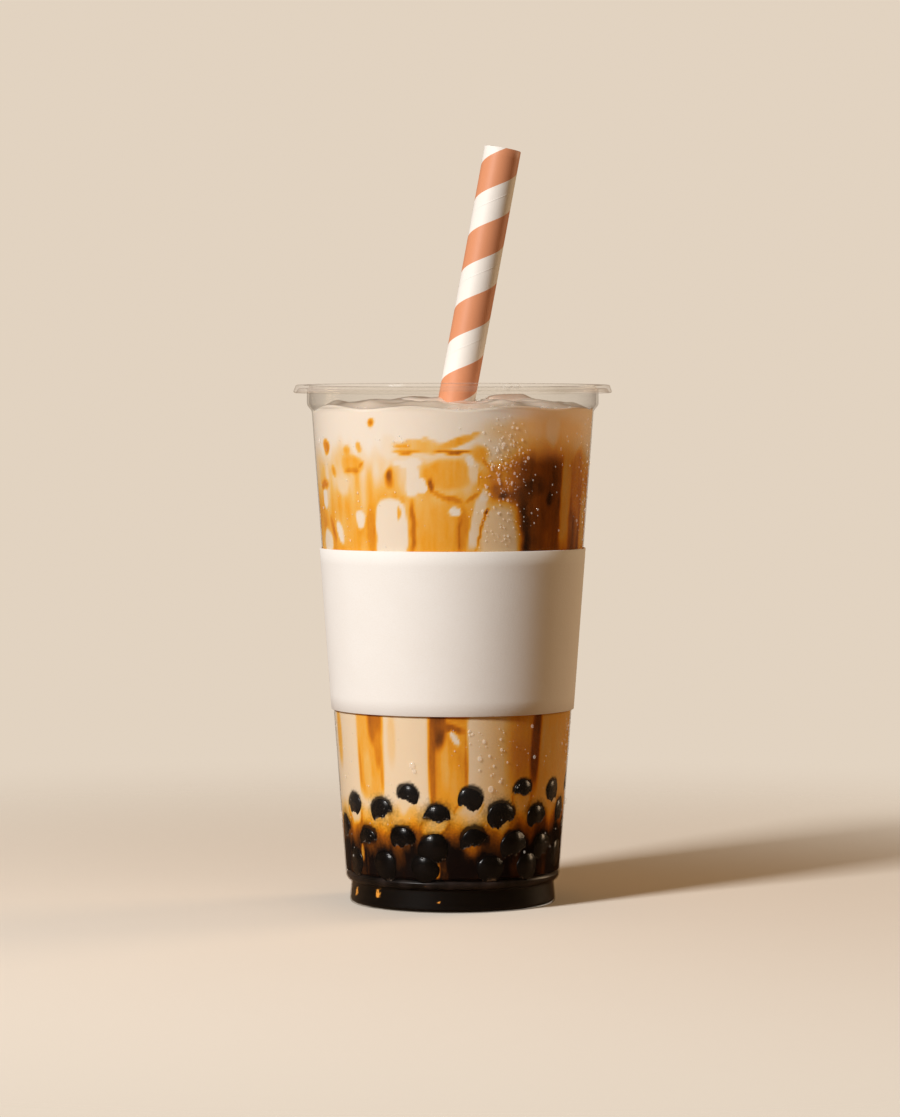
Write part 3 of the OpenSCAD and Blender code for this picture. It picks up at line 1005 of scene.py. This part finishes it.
last_end = first_end[:, ::-1] + (rows - 1) * columns
strip_quads = np.vstack([ring_faces(rows, columns)[:, ::-1], first_end, last_end])
sleeve = add_mesh("paper_sleeve", strip, strip_quads)

# %% [markdown]
# ## Uncoated paper
# Cream board has a fine felt grain that catches a low light. Two sizes of noise give its bump, and
# a very faint mottle keeps its colour from being flat.

# %% Uncoated paper


def paper_bump(finish, grain_mm, depth_mm):
    """The height 0.7 * fine grain + 0.3 * a felt five times as coarse."""
    grain = finish.noise(grain_mm, 4.0, roughness=0.65)
    felt = finish.noise(grain_mm * 5, 2.0)
    return finish.bump(grain * 0.7 + felt * 0.3, depth_mm, 0.6)


board = Finish("sleeve_paper")
mottle = board.noise(9.0, 4.0).rise(0.3, 0.7)
fibres = board.noise(0.5, 3.0, stretch=(1, 1, 2.5)).rise(0.35, 0.75)
tone = board.mix(mottle * 0.35, (0.87, 0.85, 0.81), (0.84, 0.81, 0.76))
tone = board.mix(fibres * 0.12, tone, (0.72, 0.62, 0.5))
board.cover(sleeve, ["sleeve"], {
    "Base Color": tone,
    "Roughness": 0.82,
    "Specular IOR Level": 0.25,
    "Normal": paper_bump(board, 0.55, 0.10),
})

# %% [markdown]
# ## Paper straw
# A straw's lean follows from its box: the box is as wide as the length's sideways part and the
# round end together. The tube's wall is an outline of outside, top, inside and bottom, and it is
# carried along the straw's axis.

# %% Paper straw
STRAW_D = (straw_high.y - straw_low.y) / MM
STRAW_T = 0.55
box_w = (straw_high.x - straw_low.x) / MM
box_h = (straw_high.z - straw_low.z) / MM
lean = 0.18
for _ in range(30):
    lean = math.atan((box_w - STRAW_D * math.cos(lean)) / (box_h - STRAW_D * math.sin(lean)))
STRAW_L = (box_h - STRAW_D * math.sin(lean)) / math.cos(lean)
straw_foot = np.array([
    straw_low.x / MM + STRAW_D / 2 * math.cos(lean),
    0.0,
    straw_low.z / MM + STRAW_D / 2 * math.sin(lean),
])
along = np.array([math.sin(lean), 0, math.cos(lean)])
side = np.array([math.cos(lean), 0, -math.sin(lean)])
back = np.array([0.0, 1.0, 0.0])
print("straw leans", round(math.degrees(lean), 2), "degrees and is", round(STRAW_L, 1), "mm long")

# %% The tube
EASE = 0.1
outer_r, inner_r = STRAW_D / 2, STRAW_D / 2 - STRAW_T
up_t = np.concatenate([[0], np.linspace(EASE, STRAW_L - EASE, 90), [STRAW_L]])
eased = np.where((up_t == 0) | (up_t == STRAW_L), EASE, 0.0)
tube_t = np.concatenate([up_t, up_t[::-1]])[:, None, None]
tube_r = np.concatenate([outer_r - eased, inner_r + eased])[:, None, None]
around = np.linspace(-np.pi, np.pi, 64, endpoint=False)[None, :, None]
tube = straw_foot + tube_t * along + tube_r * (np.sin(around) * side - np.cos(around) * back)
straw = add_rings("paper_straw", tube, loop=True)

# %% [markdown]
# ## Wound paper stripes
# The straw is wound from a printed strip, so the stripe is a true helix. In the straw's own frame
# the phase is the length over the pitch, less the turn round the axis. Its fraction says which
# colour a point has. The jump in the turn at the back is a whole stripe, so no seam shows. The
# winding also leaves a fine ply edge inside each cream turn.

# %% Wound paper stripes
PITCH = 21.85
STRIPE_START = 0.31
wound = Finish("straw_paper")
own_frame = wound.node("ShaderNodeMapping", {"vector_type": "TEXTURE"}, {
    "Vector": wound.place(),
    "Location": tuple(straw_foot * MM),
    "Rotation": (0, lean, 0),
})
sx, sy, sz = (wound.axis(name, own_frame) for name in "XYZ")
turn = sx.math("ARCTAN2", sy * -1) / (2 * math.pi)
phase = sz / (PITCH * MM) - turn - STRIPE_START + 40
within = phase.math("FRACT")
SOFT = 0.006
brown = within.rise(0, SOFT) * (1 - within.rise(0.5, 0.5 + SOFT))
outside = (sx * sx + sy * sy).math("SQRT").rise((inner_r + 0.3) * MM, (inner_r + 0.34) * MM)
pulp = wound.noise(0.6, 3.0)
cream = wound.mix(pulp * 0.25, (0.90, 0.86, 0.80), (0.82, 0.76, 0.68))
print_tone = wound.mix(pulp * 0.35, (0.72, 0.30, 0.15), (0.64, 0.25, 0.125))
stripe = wound.mix(brown * outside, cream, print_tone)
ply = (1 - (within - 0.80).math("ABSOLUTE").rise(0.0, 0.012)) * (1 - brown)
wound.cover(straw, ["straw"], {
    "Base Color": stripe,
    "Roughness": 0.5,
    "Specular IOR Level": 0.35,
    "Normal": wound.bump(wound.noise(0.45, 3.0) * 0.5 + ply * 1.6, 0.05, 0.6),
})

# %% [markdown]
# ## Ice
# Cubes float with a corner or an edge just out of the tea. A melted cube is a superellipsoid: a
# sphere whose coordinates are raised to a small power, which squares it and keeps round edges.

# %% Ice
ICE = [  # bearing, distance out, height of the centre under the level, half size, turn, tip
    (95, 17.5, -2.6, 7.4, 20, 12),
    (-112, 12, -6.5, 10.4, 50, 9),
    (-48, 25, -7.4, 9.6, 12, 10),
    (-128, 27, -6.8, 9.0, 65, 12),
    (46, 27, -7.4, 9.4, 35, 8),
]
SQUARENESS = 0.42
ICE_TOP = LEVEL + 5.4
ice_unit, ice_faces = balls(len(ICE), 30, 40)
squared = np.sign(ice_unit) * np.abs(ice_unit) ** SQUARENESS
squared = squared / np.abs(squared).max()
ice_points = []
for where, away, sunk, half_size, spin, tip in ICE:
    a, b = math.radians(spin), math.radians(tip)
    spin_by = np.array([[math.cos(a), -math.sin(a), 0], [math.sin(a), math.cos(a), 0], [0, 0, 1]])
    tip_by = np.array([[1, 0, 0], [0, math.cos(b), -math.sin(b)], [0, math.sin(b), math.cos(b)]])
    centre = round_axis(away, math.radians(where), LEVEL + sunk)
    ice_points.append(squared * half_size @ (tip_by @ spin_by).T + centre)
ice_points = np.concatenate(ice_points)
ice_out = np.hypot(ice_points[:, 0], ice_points[:, 1])
ice_points[:, :2] *= np.minimum(1, (tea_radius(LEVEL) - 1.0) / ice_out)[:, None]
ice_points[:, 2] = np.minimum(ice_points[:, 2], ICE_TOP)
ice = add_mesh("ice_cubes", ice_points, *ice_faces)

# %% Ice finish
frost = Finish("ice")
cloudy = frost.noise(4.0, 3.0)
frost.cover(ice, [], {
    "Base Color": frost.mix(cloudy, (0.82, 0.66, 0.54), (0.72, 0.53, 0.41)),
    "Roughness": 0.08,
    "IOR": 1.31,
    "Subsurface Weight": 0.5,
    "Subsurface Radius": (1.0, 0.85, 0.7),
    "Subsurface Scale": 0.004,
    "Normal": frost.bump(cloudy, 0.2, 0.4),
})

# %% [markdown]
# ## Condensation
# A cold cup gathers drops where the air is moist. They are small flattened balls half sunk in the
# wall, hundreds of them in one mesh, each with a few dozen faces. Most are tiny, and they gather
# in patches. A real drop is a lens that sends lamp light to the eye; a weak glow stands in for it.

# %% Condensation


def drops_on_wall(name, bearing, height, size):
    """Small balls with their centres on the wall, half as thick outward and a fifth taller upward."""
    outward, across = wall_axes(bearing)
    ball, faces = balls(len(bearing), rows=5, columns=10)
    shape = (
        ball[None, :, 0, None] * across[:, None]
        + ball[None, :, 1, None] * np.array([0, 0, 1.2])
        + ball[None, :, 2, None] * outward[:, None] * 0.5
    )
    base = round_axis(wall_radius(height), np.radians(bearing), height)
    return add_mesh(name, base[:, None] + size[:, None, None] * shape, *faces)


def patch(rng, count, bearing, height, spread):
    """Bearings and heights scattered round one place."""
    return np.stack([rng.normal(bearing, spread[0], count), rng.normal(height, spread[1], count)], -1)


# %% Drops on the wall
rng = np.random.default_rng(23)
spots = np.vstack([
    patch(rng, 210, 22, 131, (5, 7)),
    patch(rng, 60, 20, 112, (6, 5)),
    patch(rng, 110, 80, 122, (7, 11)),
    patch(rng, 20, -38, 116, (16, 6)),
    patch(rng, 8, -20, 138, (4, 2)),
    patch(rng, 45, 20, 50, (14, 5)),
    patch(rng, 40, 82, 50, (8, 6)),
    np.stack([rng.uniform(30, 330, 230), rng.uniform(108, 144, 230)], -1),
    np.stack([rng.uniform(15, 345, 130), rng.uniform(12, 56, 130)], -1),
])
free = (spots[:, 1] > SLEEVE_TOP + 1) | (spots[:, 1] < SLEEVE_LOW - 1)
free &= (spots[:, 1] > 11) & (spots[:, 1] < WALL_TOP[1] - 1)
spots = spots[free]
sizes = np.minimum(0.09 + 0.085 * rng.gamma(1.5, 0.8, len(spots)), 0.5)
BIG_DROPS = [  # bearing, height, size
    (-92, 25.5, 1.1), (91, 30, 1.1), (-94, 9.5, 0.7), (-20, 43.5, 0.9), (-19, 41.8, 0.6), (19, 36.5, 0.8),
    (13, 45.5, 0.6), (15, 50.5, 0.5), (24, 48, 0.45), (92, 131, 0.6), (91, 121, 0.5),
]
drop_b, drop_z, drop_size = np.vstack([np.column_stack([spots, sizes]), BIG_DROPS]).T
drops = drops_on_wall("condensation", drop_b, drop_z, drop_size)

# %% Water
WATER = (0.92, 0.88, 0.82)
water = clear_finish(
    "water", tint=(0.97, 0.96, 0.94), body=WATER, pale=WATER,
    least=0.16, most=0.55, blend=0.5, roughness=0.04, glow=0.28,
)
dress(drops, water)

# %% [markdown]
# ## Bubbles
# Pouring leaves a few bubbles along the wall and round the straw, and two drops on the back of
# the rim. They are the same small balls, set on the tea's top.

# %% Bubbles and rim drops
rng = np.random.default_rng(29)
wall_side = np.stack([rng.uniform(-180, 180, 46), rng.uniform(0.965, 0.99, 46) * tea_radius(LEVEL)], -1)
by_straw = np.stack([rng.uniform(60, 140, 16), rng.uniform(7, 13, 16)], -1)
bubble_b, bubble_out = np.vstack([wall_side, by_straw]).T
bubble_size = rng.uniform(0.25, 0.75, len(bubble_b))
bubble_z = top_height(bubble_b, bubble_out) + 0.25 * bubble_size
RIM_DROPS = [(158, 45.6, 1.4, CUP_H), (154, 45.8, 1.0, CUP_H)]  # bearing, distance out, size, height
small_balls = np.vstack([np.stack([bubble_b, bubble_out, bubble_size, bubble_z], -1), RIM_DROPS])
bubble_b, bubble_out, bubble_size, bubble_z = small_balls.T
bubble_unit, bubble_faces = balls(len(bubble_b), 6, 12)
bubble_at = round_axis(bubble_out, np.radians(bubble_b), bubble_z)
flatten = np.array([1, 1, 0.75])
bubble_points = bubble_at[:, None] + bubble_size[:, None, None] * bubble_unit[None] * flatten
bubbles = add_mesh("bubbles", bubble_points, *bubble_faces)
dress(bubbles, water)

# %% [markdown]
# ## Floor, light and background
# A pale floor and a pale background keep the eye on the drink, and the floor fades into the
# background with distance. The camera sees both pale, while the light they send to the drink is
# dimmer and warmer. One key lamp at the left models the round forms, and a weak warm one behind
# the right side lines the cup.

# %% Floor
floor_outline = np.array([[400.0, 0], [1500.0, 0], [6000.0, 0]])
floor = add_rings("floor", turned(floor_outline, 64), (0, None))
floor.data.flip_normals()
ground = Finish("floor")
grain = ground.noise(40, 4.0)
seen_first = ground.node("ShaderNodeLightPath", output="Is Camera Ray")
pale = ground.mix(grain * 0.3, (0.98, 0.90, 0.79), (0.95, 0.86, 0.75))
floor_shader = ground.principled({
    "Base Color": ground.mix(seen_first, (0.36, 0.22, 0.12), pale),
    "Roughness": 0.7,
    "Specular IOR Level": 0.1,
})
far = ground.node("ShaderNodeVectorMath", {"operation": "LENGTH"}, {0: ground.place()}, output="Value")
nothing = ground.node("ShaderNodeBsdfTransparent")
faded = ground.node("ShaderNodeMixShader", {}, {0: far.rise(0.06, 0.5), 1: floor_shader, 2: nothing})
floor.data.materials.append(ground.surface(faded))

# %% Lights


def area_light(name, bearing, elevation, away, size, power, colour):
    """A square lamp on a sphere round the cup, aimed at its middle."""
    b, e = math.radians(bearing), math.radians(elevation)
    data = bpy.data.lights.new(name, "AREA")
    data.shape = "SQUARE"
    data.size = size
    data.energy = power
    data.color = colour
    lamp = put_in_scene(name, data)
    lamp.location = np.array([0, 0, 0.1]) + away * round_axis(math.cos(e), b, math.sin(e))
    lamp.rotation_euler = (math.radians(90) - e, 0, b)
    print("lamp", name, power, "W")


area_light("key", -43, 28, 1.6, 0.28, 28.0, (1.0, 0.99, 0.985))
area_light("rim_right", 118, 14, 1.6, 0.6, 9.5, (1.0, 0.72, 0.46))

# %% Background
studio = Finish("studio", bpy.data.worlds.new("studio"))
bpy.context.scene.world = studio.material
to_camera = studio.node("ShaderNodeLightPath", output="Is Camera Ray")
lit = studio.node("ShaderNodeBackground", {}, {"Color": (0.125, 0.071, 0.028)})
seen = studio.node("ShaderNodeBackground", {}, {"Color": (0.76, 0.65, 0.53)})
studio.surface(studio.node("ShaderNodeMixShader", {}, {0: to_camera, 1: lit, 2: seen}))
bpy.context.scene.view_settings.view_transform = "Standard"
